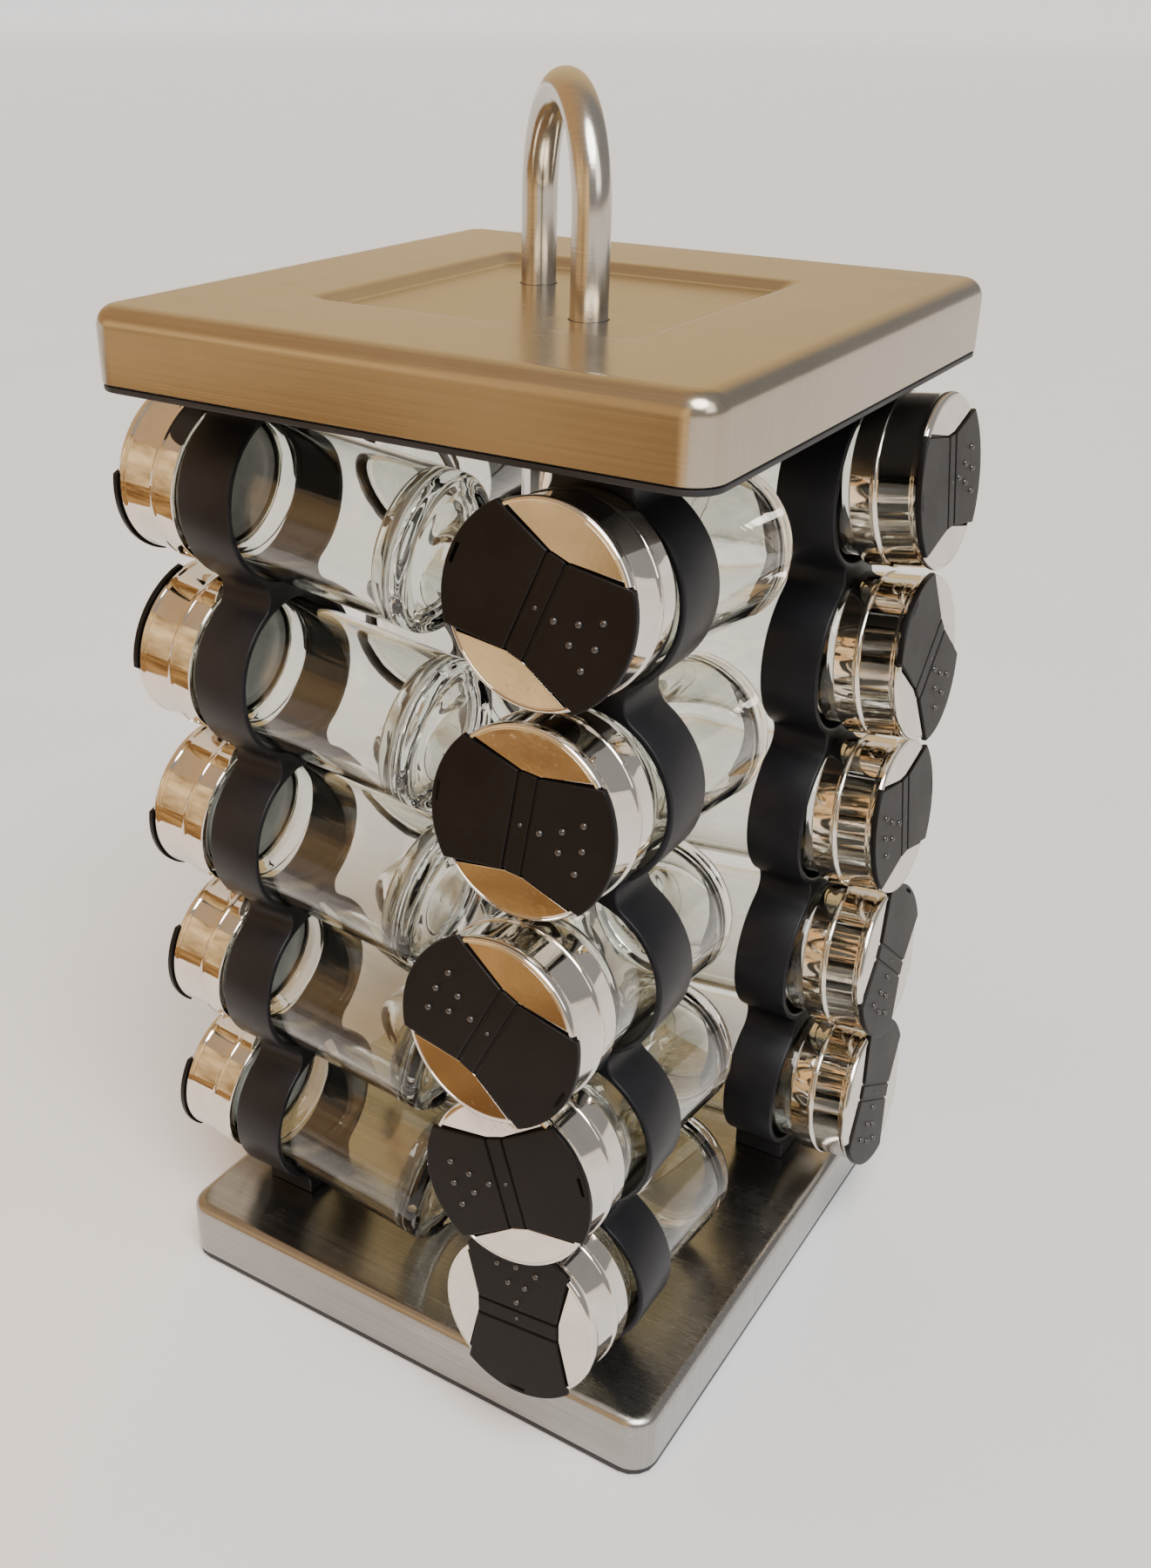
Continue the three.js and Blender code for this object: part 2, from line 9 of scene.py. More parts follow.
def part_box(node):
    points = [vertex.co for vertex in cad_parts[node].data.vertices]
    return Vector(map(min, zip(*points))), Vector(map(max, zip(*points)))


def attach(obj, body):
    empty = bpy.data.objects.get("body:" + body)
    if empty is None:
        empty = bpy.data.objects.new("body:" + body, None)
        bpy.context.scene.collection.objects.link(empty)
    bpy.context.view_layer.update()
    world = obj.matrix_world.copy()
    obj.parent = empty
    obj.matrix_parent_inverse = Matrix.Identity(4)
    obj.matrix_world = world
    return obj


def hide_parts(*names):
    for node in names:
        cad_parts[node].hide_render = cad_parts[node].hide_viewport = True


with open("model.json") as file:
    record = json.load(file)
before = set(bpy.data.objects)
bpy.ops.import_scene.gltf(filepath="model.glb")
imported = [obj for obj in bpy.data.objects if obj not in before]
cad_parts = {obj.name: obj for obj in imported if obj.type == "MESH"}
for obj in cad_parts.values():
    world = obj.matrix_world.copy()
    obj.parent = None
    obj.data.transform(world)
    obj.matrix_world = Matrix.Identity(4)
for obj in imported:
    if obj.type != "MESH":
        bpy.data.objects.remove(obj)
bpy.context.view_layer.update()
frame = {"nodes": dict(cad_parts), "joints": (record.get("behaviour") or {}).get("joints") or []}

MM = 0.001

# ---------------------------------------------------------------- sizes, millimetres
COVER_HALF = 85.0
PLATE_HALF = 84.8
CORNER_R = 8.0
TOP_EDGE_R = 5.2
BASE_EDGE_R = 3.0
SHEET = 1.2
RECESS_HALF = 46.0
RECESS_DEPTH = 2.7
RECESS_SLOPE = 3.0
ROD_R = 4.75
HANDLE_SPAN = 53.0
ROWS = 5
PITCH = 50.5
RING_R = 24.3
RING_HOLE = 22.5
RING_DEPTH = 17.1
RACK_EASE = 0.55
RACK_CLEAR = 0.3
WAIST_INSET = 1.85
JAR_LENGTH = 91.3
SHOULDER_DROP = 1.9
MOUTH_DROP = 2.9
CAP_BACK_CLEAR = 0.3
CAP_LENGTH = 19.3
CAP_R = 23.6
FLAP_R = 24.3
HINGE_STRIP = 5.0
GROOVE = 0.8
WAIST = 24.8
FLAP_CHORD = 31.4
FLAP_PROUD = 0.6
FLAP_THICK = 1.5
FACE_RIM_R = 22.25
BUMP_R = 0.9
BUMP_RISE = 0.7
DISC_R = 22.0
DISC_THICK = 1.1
DISC_DROP = 1.85
HOLE_R = 1.1
POUR_R = 16.2
POUR_REACH = 0.87
POUR_START = 8.2
POUR_HALF = 9.2
SIFTER_HOLES = [(5.2, 0), (10.7, 2.6), (10.7, -2.6), (15.6, 6), (15.6, -6), (16.4, 0)]
# Which way each jar's sifter flap points, degrees anticlockwise for someone who faces it.
TURNS = {
    "front": (-21, -6, 155, 202, 95),
    "right": (0, -55, 180, -130, -120),
    "back": (40, 130, -75, 10, 160),
    "left": (-35, 35, -35, -10, 170),
}
COLUMNS = ("front", "right", "back", "left")
OPENING = ("front_1", "front_2")


# ---------------------------------------------------------------- node helpers
def new_material(name):
    material = bpy.data.materials.new(name)
    material.use_nodes = True
    tree = material.node_tree
    shader = tree.nodes["Principled BSDF"]
    return material, tree, shader


def node(tree, kind, **settings):
    made = tree.nodes.new(kind)
    for key, value in settings.items():
        if key in made.inputs:
            made.inputs[key].default_value = value
        else:
            setattr(made, key, value)
    return made


def object_coords(tree, scale=(1, 1, 1), rotation=(0, 0, 0)):
    coords = node(tree, "ShaderNodeTexCoord")
    mapping = node(tree, "ShaderNodeMapping")
    mapping.inputs["Scale"].default_value = scale
    mapping.inputs["Rotation"].default_value = rotation
    tree.links.new(coords.outputs["Object"], mapping.inputs["Vector"])
    return mapping.outputs["Vector"]


def noise(tree, vector, scale, detail=3.0, rough=0.5):
    made = node(tree, "ShaderNodeTexNoise")
    made.inputs["Scale"].default_value = scale
    made.inputs["Detail"].default_value = detail
    made.inputs["Roughness"].default_value = rough
    tree.links.new(vector, made.inputs["Vector"])
    return made.outputs["Fac"]


def spread(tree, value, from_low, from_high, to_low, to_high):
    made = node(tree, "ShaderNodeMapRange")
    made.inputs["From Min"].default_value = from_low
    made.inputs["From Max"].default_value = from_high
    made.inputs["To Min"].default_value = to_low
    made.inputs["To Max"].default_value = to_high
    tree.links.new(value, made.inputs["Value"])
    return made.outputs["Result"]


def math_node(tree, operation, a, b):
    made = node(tree, "ShaderNodeMath", operation=operation)
    for i, value in enumerate((a, b)):
        if isinstance(value, (int, float)):
            made.inputs[i].default_value = value
        else:
            tree.links.new(value, made.inputs[i])
    return made.outputs[0]


def two_tone(tree, factor, dark, light):
    made = node(tree, "ShaderNodeMix", data_type="RGBA")
    made.inputs[6].default_value = (*dark, 1)
    made.inputs[7].default_value = (*light, 1)
    tree.links.new(factor, made.inputs[0])
    return made.outputs[2]


def bump(tree, shader, height, strength, distance):
    made = node(tree, "ShaderNodeBump")
    made.inputs["Strength"].default_value = strength
    made.inputs["Distance"].default_value = distance
    tree.links.new(height, made.inputs["Height"])
    tree.links.new(made.outputs["Normal"], shader.inputs["Normal"])


# ---------------------------------------------------------------- materials
def brushed_steel(name, dark, light, rough=(0.24, 0.38)):
    """Sheet steel brushed along X; on the faces that look along X the grain stands upright."""
    material, tree, shader = new_material(name)
    along_x = noise(tree, object_coords(tree, (14, 1500, 1500)), 1.0, 4, 0.62)
    upright = noise(tree, object_coords(tree, (1500, 1500, 14)), 1.0, 4, 0.62)
    coords = node(tree, "ShaderNodeTexCoord")
    split = node(tree, "ShaderNodeSeparateXYZ")
    tree.links.new(coords.outputs["Normal"], split.inputs[0])
    side = math_node(tree, "ABSOLUTE", split.outputs["X"], 0)
    side = spread(tree, side, 0.55, 0.8, 0, 1)
    grain = node(tree, "ShaderNodeMix", data_type="FLOAT")
    tree.links.new(side, grain.inputs[0])
    tree.links.new(along_x, grain.inputs[2])
    tree.links.new(upright, grain.inputs[3])
    grain = grain.outputs[0]
    smear = noise(tree, object_coords(tree), 16, 5, 0.6)
    prints = noise(tree, object_coords(tree, rotation=(0, 0, 0.6)), 70, 3, 0.55)
    tone = math_node(tree, "ADD", math_node(tree, "MULTIPLY", grain, 0.55),
                     math_node(tree, "MULTIPLY", smear, 0.45))
    tree.links.new(two_tone(tree, spread(tree, tone, 0.3, 0.7, 0, 1), dark, light),
                   shader.inputs["Base Color"])
    gloss = math_node(tree, "ADD", spread(tree, smear, 0.3, 0.7, rough[0], rough[1]),
                      spread(tree, prints, 0.55, 0.75, 0, 0.05))
    gloss = math_node(tree, "ADD", gloss, spread(tree, grain, 0.3, 0.7, -0.015, 0.025))
    tree.links.new(gloss, shader.inputs["Roughness"])
    shader.inputs["Metallic"].default_value = 1
    bump(tree, shader, grain, 0.09, 0.00025)
    return material


def bright_chrome(name, tint, rough=(0.03, 0.11)):
    material, tree, shader = new_material(name)
    smear = noise(tree, object_coords(tree), 90, 4, 0.6)
    speck = noise(tree, object_coords(tree), 900, 2, 0.5)
    tree.links.new(two_tone(tree, spread(tree, smear, 0.35, 0.7, 0, 1), tint, [c * 0.86 for c in tint]),
                   shader.inputs["Base Color"])
    gloss = math_node(tree, "ADD", spread(tree, smear, 0.35, 0.75, rough[0], rough[1]),
                      spread(tree, speck, 0.62, 0.8, 0, 0.12))
    tree.links.new(gloss, shader.inputs["Roughness"])
    shader.inputs["Metallic"].default_value = 1
    bump(tree, shader, smear, 0.05, 0.0006)
    return material


def moulded_plastic(name, dark, light, rough, grain_scale, grain_depth, specular=0.5):
    material, tree, shader = new_material(name)
    grain = noise(tree, object_coords(tree), grain_scale, 2, 0.6)
    wear = noise(tree, object_coords(tree), 28, 5, 0.62)
    dust = noise(tree, object_coords(tree), 520, 2, 0.5)
    tone = math_node(tree, "ADD", spread(tree, wear, 0.35, 0.7, 0, 0.8),
                     spread(tree, dust, 0.68, 0.8, 0, 0.5))
    tree.links.new(two_tone(tree, tone, dark, light), shader.inputs["Base Color"])
    gloss = math_node(tree, "ADD", spread(tree, wear, 0.3, 0.7, rough[0], rough[1]),
                      spread(tree, grain, 0.3, 0.7, -0.03, 0.04))
    tree.links.new(gloss, shader.inputs["Roughness"])
    shader.inputs["Specular IOR Level"].default_value = specular
    bump(tree, shader, grain, 0.35, grain_depth)
    return material


def clear_glass(name):
    material, tree, shader = new_material(name)
    shader.inputs["Transmission Weight"].default_value = 1
    shader.inputs["IOR"].default_value = 1.48
    flow = noise(tree, object_coords(tree, (1, 1, 0.45)), 95, 3, 0.45)
    # The tint is partly the glass's own greenish colour and partly painted shade: it is darkened for the
    # shaded inside of the tower seen through the jars.
    tree.links.new(two_tone(tree, flow, (0.88, 0.90, 0.86), (0.955, 0.965, 0.94)),
                   shader.inputs["Base Color"])
    marks = noise(tree, object_coords(tree), 300, 3, 0.6)
    tree.links.new(spread(tree, marks, 0.55, 0.8, 0.0, 0.07), shader.inputs["Roughness"])
    bump(tree, shader, flow, 0.08, 0.0004)
    return material


def milky_plastic(name):
    material, tree, shader = new_material(name)
    cloud = noise(tree, object_coords(tree), 160, 3, 0.5)
    tree.links.new(two_tone(tree, cloud, (0.80, 0.86, 0.90), (0.93, 0.96, 0.97)),
                   shader.inputs["Base Color"])
    tree.links.new(spread(tree, cloud, 0.3, 0.7, 0.22, 0.35), shader.inputs["Roughness"])
    shader.inputs["Subsurface Weight"].default_value = 0.25
    shader.inputs["Subsurface Radius"].default_value = (0.002, 0.002, 0.002)
    bump(tree, shader, cloud, 0.08, 0.0004)
    return material


# One stainless steel in two colours: the top cover's is painted golden and lighter for the warm light on
# it, and the base's is painted darker and greyer for its shade.
STEEL_PAINTED_WARM_LIGHT = brushed_steel("stainless_painted_warm_light", (0.40, 0.345, 0.265), (0.49, 0.43, 0.34), (0.17, 0.26))
BASE_STEEL_PAINTED_SHADE = brushed_steel("stainless_painted_shade", (0.27, 0.26, 0.245), (0.42, 0.405, 0.385), (0.19, 0.28))
ROD = brushed_steel("rod_stainless", (0.50, 0.46, 0.40), (0.60, 0.56, 0.50), (0.16, 0.21))
ZINC = brushed_steel("zinc_plate", (0.45, 0.45, 0.45), (0.62, 0.62, 0.62), (0.35, 0.5))
CHROME = bright_chrome("cap_chrome", (0.80, 0.75, 0.67))
POST = bright_chrome("post_chrome", (0.80, 0.78, 0.74), (0.05, 0.14))
RACK = moulded_plastic("rack_black", (0.006, 0.006, 0.008), (0.013, 0.013, 0.016), (0.34, 0.46),
                       1400, 0.00006, 0.26)
PLATE = moulded_plastic("plate_black", (0.010, 0.010, 0.012), (0.02, 0.02, 0.023), (0.44, 0.56),
                        1300, 0.00008, 0.38)
FLAP = moulded_plastic("flap_black", (0.0035, 0.0026, 0.0024), (0.0075, 0.0056, 0.0052), (0.38, 0.50),
                       1900, 0.00018, 0.2)
# The bumps and the strip's dot are the flaps' own plastic; their lighter colour is a painted highlight.
BUMP_PAINTED_HIGHLIGHT = moulded_plastic("flap_bumps_painted_highlight", (0.012, 0.010, 0.009), (0.03, 0.026, 0.024), (0.16, 0.24),
                       1900, 0.00005, 0.9)
RUBBER = moulded_plastic("pad_rubber", (0.016, 0.016, 0.016), (0.035, 0.035, 0.034), (0.75, 0.9),
                         900, 0.00012, 0.3)
GLASS_WITH_PAINTED_SHADE = clear_glass("jar_glass")
MILKY = milky_plastic("sifter_insert")


# ---------------------------------------------------------------- mesh helpers
def shade(mesh, angle=38):
    mesh.shade_smooth()
    mesh.set_sharp_from_angle(angle=math.radians(angle))


def add_object(name, mesh, matrix=None):
    made = bpy.data.objects.new(name, mesh)
    bpy.context.scene.collection.objects.link(made)
    if matrix is not None:
        made.matrix_world = matrix
    return made


class Build:
    """Collects points in millimetres and faces, each face with a material index."""

    def __init__(self):
        self.points = []
        self.faces = []
        self.slots = []

    def face(self, corners, slot=0):
        self.faces.append(corners)
        self.slots.append(slot)

    def strip(self, first, second, count, slot=0):
        for i in range(count):
            j = (i + 1) % count
            self.face([first + i, first + j, second + j, second + i], slot)

    def lathe(self, profile, count=64, slot=0, angles=None, lower=None):
        """Turns [radius, height] pairs about Z. lower(angle, height) may change a height."""
        angles = angles or [2 * math.pi * i / count for i in range(count)]
        count = len(angles)
        previous = None
        for radius, height in profile:
            start = len(self.points)
            if radius == 0:
                self.points.append((0, 0, height))
            else:
                for a in angles:
                    z = lower(a, height) if lower else height
                    self.points.append((radius * math.cos(a), radius * math.sin(a), z))
            here = (start, radius == 0)
            if previous is not None:
                (p, p_pole), (q, q_pole) = previous, here
                for i in range(count):
                    j = (i + 1) % count
                    if p_pole:
                        self.face([p, q + j, q + i], slot)
                    elif q_pole:
                        self.face([p + i, p + j, q], slot)
                    else:
                        self.face([p + i, p + j, q + j, q + i], slot)
            previous = here

    def loops(self, rings, slot=0, close_first=False, close_last=False):
        """Skins equal-length rings of points in order."""
        count = len(rings[0])
        starts = []
        for ring in rings:
            starts.append(len(self.points))
            self.points.extend(ring)
        for a, b in zip(starts, starts[1:]):
            self.strip(a, b, count, slot)
        if close_first:
            self.face([starts[0] + i for i in reversed(range(count))], slot)
        if close_last:
            self.face([starts[-1] + i for i in range(count)], slot)

    def slab(self, outline, low, high, ease=0.25, slot=0, steps=3):
        """A flat plate with an eased upper edge."""
        rings = [[(x, y, low) for x, y in outline]]
        for i in range(steps + 1):
            a = math.pi / 2 * i / steps
            inner = inset(outline, ease * (1 - math.cos(a)))
            rings.append([(x, y, high - ease + ease * math.sin(a)) for x, y in inner])
        # A narrow level rim keeps the shading of the flat face flat.
        rings.append([(x, y, high) for x, y in inset(outline, ease + 0.12)])
        self.loops(rings, slot, close_first=True, close_last=True)

    def dome(self, x, y, radius, low, rise, slot=0):
        start = len(self.points)
        self.lathe([(radius * math.cos(a), low + rise * math.sin(a)) for a in (0, 0.45, 0.9, 1.25)]
                   + [(0, low + rise)], 16, slot)
        for i in range(start, len(self.points)):
            px, py, pz = self.points[i]
            self.points[i] = (px + x, py + y, pz)

    def mesh(self, name, materials, angle=38):
        made = bpy.data.meshes.new(name)
        made.from_pydata([(x * MM, y * MM, z * MM) for x, y, z in self.points], [], self.faces)
        for material in materials:
            made.materials.append(material)
        made.polygons.foreach_set("material_index", self.slots)
        work = bmesh.new()
        work.from_mesh(made)
        bmesh.ops.recalc_face_normals(work, faces=work.faces)
        work.to_mesh(made)
        work.free()
        made.update()
        shade(made, angle)
        return made


def inset(outline, distance):
    """Moves each side of an anticlockwise outline inwards."""
    count = len(outline)
    made = []
    for i in range(count):
        a, b, c = Vector(outline[i - 1]), Vector(outline[i]), Vector(outline[(i + 1) % count])
        u, v = (b - a).normalized(), (c - b).normalized()
        n = Vector((-u.y - v.y, u.x + v.x))
        n = n.normalized() if n.length > 1e-9 else Vector((-u.y, u.x))
        scale = distance / max(0.3, n.dot(Vector((-u.y, u.x))))
        made.append((b.x + n.x * scale, b.y + n.y * scale))
    return made


def rounded_square(half, radius, z, steps=10):
    points = []
    for cx, cy, start in ((1, 1, 0), (-1, 1, 90), (-1, -1, 180), (1, -1, 270)):
        for i in range(steps + 1):
            a = math.radians(start + 90 * i / steps)
            inner = half - radius
            points.append((cx * inner + radius * math.cos(a), cy * inner + radius * math.sin(a), z))
    return points


# ---------------------------------------------------------------- covers, plates, handle
def cover(name, low, high, edge, recess):
    half = COVER_HALF
    rings = [
        rounded_square(half - SHEET, CORNER_R - SHEET, low + 5),
        rounded_square(half - SHEET, CORNER_R - SHEET, low + 0.25),
        rounded_square(half - SHEET + 0.3, CORNER_R - SHEET + 0.3, low),
        rounded_square(half - 0.3, CORNER_R - 0.3, low),
        rounded_square(half, CORNER_R, low + 0.3),
        rounded_square(half, CORNER_R, low + 1.2),
    ]
    for i in range(13):
        a = math.pi / 2 * i / 12
        drop = edge * (1 - math.cos(a))
        rings.append(rounded_square(half - drop, CORNER_R - drop, high - edge + edge * math.sin(a)))
    top_r = CORNER_R - edge
    rings.append(rounded_square(half - edge - 0.8, top_r, high))
    if recess:
        out, inn, floor = RECESS_HALF, RECESS_HALF - RECESS_SLOPE, high - RECESS_DEPTH
        rings += [
            rounded_square(out + 1.6, 5.0, high),
            rounded_square(out + 0.8, 4.6, high - 0.02),
            rounded_square(out + 0.2, 4.3, high - 0.16),
            rounded_square(out - 0.5, 4.0, high - 0.55),
            rounded_square(inn + 0.5, 3.4, floor + 0.42),
            rounded_square(inn - 0.2, 3.1, floor + 0.10),
            rounded_square(inn - 1.0, 2.8, floor),
            rounded_square(inn - 2.0, 2.6, floor),
        ]
    build = Build()
    build.loops(rings, close_last=True)
    if recess:
        # A thin black ring round each handle leg on the recess floor is painted shade for the gap where the
        # leg passes through.
        reach = HANDLE_SPAN / 2 / math.sqrt(2)
        for x, y in ((-reach, reach), (reach, -reach)):
            start = len(build.points)
            build.lathe([(ROD_R, floor + 0.03), (ROD_R + 0.32, floor + 0.04),
                         (ROD_R + 0.42, floor + 0.01)], 32, 1)
            for i in range(start, len(build.points)):
                px, py, pz = build.points[i]
                build.points[i] = (px + x, py + y, pz)
    return add_object(name, build.mesh(name, [STEEL_PAINTED_WARM_LIGHT if recess else BASE_STEEL_PAINTED_SHADE, PLATE], 30))


def edge_plate(name, strip_low, strip_high, body_high):
    half = PLATE_HALF
    rings = [
        rounded_square(half - 0.5, CORNER_R - 0.5, strip_low),
        rounded_square(half - 0.15, CORNER_R - 0.15, strip_low + 0.12),
        rounded_square(half, CORNER_R, strip_low + 0.45),
        rounded_square(half, CORNER_R, strip_high - 0.2),
        rounded_square(half - 0.2, CORNER_R - 0.2, strip_high),
        rounded_square(83.5, 6.5, strip_high),
        rounded_square(83.5, 6.5, body_high),
    ]
    build = Build()
    build.loops(rings, close_first=True, close_last=True)
    return add_object(name, build.mesh(name, [PLATE], 30))


def handle_piece():
    low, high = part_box("handle")
    radius = HANDLE_SPAN / 2
    spring = high.z / MM - ROD_R - radius
    start = low.z / MM
    path = [(-radius, start + (spring - start) * i / 8) for i in range(8)]
    path += [(-radius * math.cos(math.pi * i / 48), spring + radius * math.sin(math.pi * i / 48))
             for i in range(49)]
    path += [(radius, spring - (spring - start) * (i + 1) / 8) for i in range(8)]
    rings = []
    # The section lies across the path: one axis level, square to the handle's plane.
    across = Vector((1 / math.sqrt(2), 1 / math.sqrt(2), 0))
    for i, (along, height) in enumerate(path):
        before, after = path[max(0, i - 1)], path[min(len(path) - 1, i + 1)]
        run = Vector((after[0] - before[0], after[1] - before[1])).normalized()
        inward = Vector((-run.y / math.sqrt(2), run.y / math.sqrt(2), run.x))
        centre = Vector((along / math.sqrt(2), -along / math.sqrt(2), height))
        ring = []
        for k in range(32):
            a = 2 * math.pi * k / 32
            ring.append(tuple(centre + ROD_R * (math.cos(a) * across + math.sin(a) * inward)))
        rings.append(ring)
    build = Build()
    build.loops(rings, close_first=True, close_last=True)
    return add_object("handle_rod", build.mesh("handle_rod", [ROD], 50))


# ---------------------------------------------------------------- racks
def wave_outline(low, high, middle):
    """The rack's outline, anticlockwise, as [across, height] pairs."""
    valley = RING_R / 2 - WAIST_INSET
    fillet = (valley ** 2 + (PITCH / 2) ** 2 - RING_R ** 2) / (2 * (RING_R - valley))
    meet = math.atan2(PITCH / 2, valley + fillet)
    side = [(valley, low)]
    for row in range(ROWS):
        z = middle + (row - (ROWS - 1) / 2) * PITCH
        for i in range(6):
            a = math.pi - meet * i / 6
            side.append((valley + fillet + fillet * math.cos(a), z - PITCH / 2 + fillet * math.sin(a)))
        for i in range(21):
            a = -meet + 2 * meet * i / 20
            side.append((RING_R * math.cos(a), z + RING_R * math.sin(a)))
        for i in range(1, 7):
            a = math.pi + meet * (1 - i / 6)
            side.append((valley + fillet + fillet * math.cos(a), z + PITCH / 2 + fillet * math.sin(a)))
    side.append((valley, high))
    return side + [(-x, z) for x, z in reversed(side)]


def flat_fill(name, outline, holes, depth, ease, material):
    """A plate cut from an outline with holes, with eased edges, lying in XY and centred on Z."""
    curve = bpy.data.curves.new(name, "CURVE")
    curve.dimensions = "2D"
    curve.fill_mode = "BOTH"
    curve.extrude = (depth / 2 - ease) * MM
    curve.bevel_depth = ease * MM
    curve.bevel_resolution = 2
    curve.offset = -ease * MM
    for ring in [outline, *holes]:
        spline = curve.splines.new("POLY")
        spline.points.add(len(ring) - 1)
        for point, (x, y) in zip(spline.points, ring):
            point.co = (x * MM, y * MM, 0, 1)
        spline.use_cyclic_u = True
    holder = bpy.data.objects.new(name + "_curve", curve)
    bpy.context.scene.collection.objects.link(holder)
    graph = bpy.context.evaluated_depsgraph_get()
    mesh = bpy.data.meshes.new_from_object(holder.evaluated_get(graph))
    bpy.data.objects.remove(holder)
    mesh.name = name
    mesh.materials.clear()
    mesh.materials.append(material)
    work = bmesh.new()
    work.from_mesh(mesh)
    bmesh.ops.remove_doubles(work, verts=work.verts, dist=1e-6)
    bmesh.ops.recalc_face_normals(work, faces=work.faces)
    work.to_mesh(mesh)
    work.free()
    shade(mesh, 32)
    return mesh


def circle(radius, count, x=0, y=0):
    angles = [2 * math.pi * i / count for i in range(count)]
    return [(x + radius * math.cos(a), y + radius * math.sin(a)) for a in angles]


# ---------------------------------------------------------------- jars and caps (local: Z out of the ring)
def rounded_profile(points, steps=4):
    """A smooth curve through [radius, height] pairs."""
    ends = [points[0], *points, points[-1]]
    made = []
    for a, b, c, d in zip(ends, ends[1:], ends[2:], ends[3:]):
        for i in range(steps):
            t = i / steps
            made.append(tuple(
                0.5 * (2 * q + (r - p) * t + (2 * p - 5 * q + 4 * r - s) * t * t
                       + (3 * q - p - 3 * r + s) * t ** 3)
                for p, q, r, s in zip(a, b, c, d)))
    return [*made, points[-1]]


def glass_mesh(end, shoulder, mouth):
    build = Build()
    build.lathe(rounded_profile([
        (0, end + 1.3), (7, end + 1.2), (12, end + 0.85), (15, end + 0.3), (16.4, end + 0.04),
        (17.4, end + 0.02), (18.8, end + 0.3), (20.0, end + 1.1), (20.75, end + 2.4), (21.0, end + 4.2),
        (20.9, end + 9), (20.82, end + 25), (20.82, shoulder - 22), (20.9, shoulder - 5),
        (20.95, shoulder - 1.4), (20.8, shoulder - 0.5), (20.45, shoulder + 0.4),
        (20.05, shoulder + 1.3), (19.7, shoulder + 2.6), (19.7, mouth - 0.9), (19.4, mouth - 0.2),
        (18.9, mouth), (18.5, mouth - 0.2), (18.25, mouth - 0.8), (18.2, shoulder + 1.5),
        (18.35, shoulder - 1.5), (18.9, shoulder - 5.5), (19.15, shoulder - 10), (19.2, end + 14),
        (19.05, end + 10), (18.4, end + 7.2), (17.0, end + 5.6), (14.0, end + 4.9), (8, end + 4.9),
        (0, end + 5.1),
    ]), 96)
    return build.mesh("jar_glass", [GLASS_WITH_PAINTED_SHADE], 60)


def insert_mesh(shoulder, mouth):
    """The milky sifter cup pressed into the jar's mouth."""
    low = shoulder + 1.0
    build = Build()
    build.lathe([
        (0, low + 1.6), (9, low + 1.6), (13.6, low + 1.5), (14.2, low + 1.1), (14.5, low + 0.2),
        (15.1, low), (16.6, low), (17.4, low + 0.4), (17.75, low + 1.4), (17.75, mouth - 1.2),
        (17.0, mouth - 1.0), (16.6, mouth - 2.4), (16.4, low + 2.6), (12, low + 2.6), (0, low + 2.6),
    ], 56)
    for x, y in SIFTER_HOLES:
        build.dome(x - 2, y, 0.8, low + 1.6, -0.5)
    return build.mesh("sifter_cup", [MILKY], 40)


def oblong(half_x, half_y):
    return [(-half_x, -half_y), (half_x, -half_y), (half_x, half_y), (-half_x, half_y)]


def flap_corner(radius):
    return math.asin(FLAP_CHORD / 2 / radius)


def flap_outline(start, radius):
    reach = flap_corner(radius)
    points = [(start, -WAIST / 2)]
    for i in range(25):
        a = -reach + 2 * reach * i / 24
        points.append((radius * math.cos(a), radius * math.sin(a)))
    points.append((start, WAIST / 2))
    return points


def sleeve(face):
    """The cap's bright shell: skirt, bead, rolled rim and the two face segments beside the insert."""
    back = face - CAP_LENGTH
    corner = flap_corner(CAP_R) + 0.012
    # A close pair of steps at each end of the two cut-outs makes their edges crisp.
    steps = [sign * corner + half + nudge
             for half in (0, math.pi) for sign in (-1, 1) for nudge in (-0.003, 0.003)]
    angles = sorted([2 * math.pi * i / 96 for i in range(96)] + steps, key=lambda a: a % (2 * math.pi))

    def lower(angle, height):
        turn = (angle + math.pi / 2) % math.pi - math.pi / 2
        return min(height, face - 1.25) if abs(turn) < corner else height

    build = Build()
    build.lathe([
        (20.6, back + 2.5), (20.6, back + 0.5), (21.2, back + 0.25), (22.7, back + 0.05), (23.1, back),
        (23.3, back + 0.18), (23.38, back + 0.5), (23.38, back + 5.7), (23.42, back + 6.0),
        (23.58, back + 6.25), (23.6, back + 6.6), (23.52, back + 6.95), (23.3, back + 7.15),
        (23.18, back + 7.35), (23.14, back + 8.0), (23.14, face - 3.2), (23.2, face - 2.7),
        (23.42, face - 2.3), (23.5, face - 1.9), (23.5, face - 1.3), (23.38, face - 0.75),
        (23.1, face - 0.3), (22.7, face - 0.06), (22.3, face - 0.03), (22.1, face - 0.25),
        (22.1, face - 1.4),
    ], slot=0, angles=angles, lower=lower)
    edge = flap_corner(FACE_RIM_R) + 0.012
    around = [edge + (math.pi - 2 * edge) * i / 28 for i in range(29)]
    segment = [(FACE_RIM_R * math.cos(a), FACE_RIM_R * math.sin(a)) for a in around]
    segment += [(-HINGE_STRIP / 2, WAIST / 2 + 0.25), (HINGE_STRIP / 2, WAIST / 2 + 0.25)]
    build.slab(segment, face - 1.4, face - 0.02, 0.16)
    build.slab([(-x, -y) for x, y in segment], face - 1.4, face - 0.02, 0.16)
    return build.mesh("cap_sleeve", [CHROME], 34)


